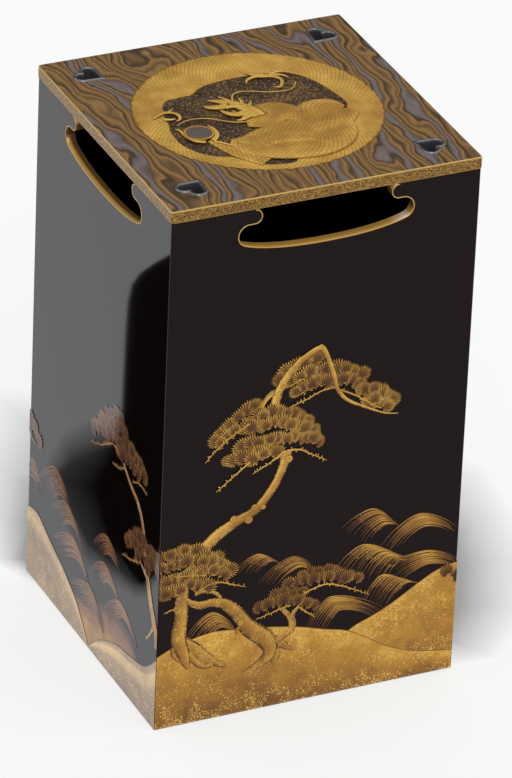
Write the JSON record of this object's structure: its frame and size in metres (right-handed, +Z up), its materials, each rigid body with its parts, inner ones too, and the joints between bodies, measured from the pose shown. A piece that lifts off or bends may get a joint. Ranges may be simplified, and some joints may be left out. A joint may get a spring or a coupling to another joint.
{
  "type": "lacquered box stand",
  "caption": "Tall square lacquered box with cusped hand openings in its walls and a lift-off board on top with heart-shaped eyelets in its corners.",
  "frame": {"origin": "centre of the underside", "axes": "+Z up, -Y towards the front, +X to the right of someone facing the front"},
  "size_m": [0.1708, 0.1708, 0.304],
  "materials": {
    "black_lacquer": "polished black lacquer with sprinkled gold landscape",
    "gilt_wood_grain": "sprinkled gold wood grain on lacquer, satin",
    "tarnished_silver": "soft tarnished silver"
  },
  "bodies": {
    "root": {"box": "black_lacquer", "top_board": "gilt_wood_grain", "heart_eyelet_back_left": "tarnished_silver", "heart_eyelet_back_right": "tarnished_silver", "heart_eyelet_front_left": "tarnished_silver", "heart_eyelet_front_right": "tarnished_silver"}
  },
  "joints": []
}
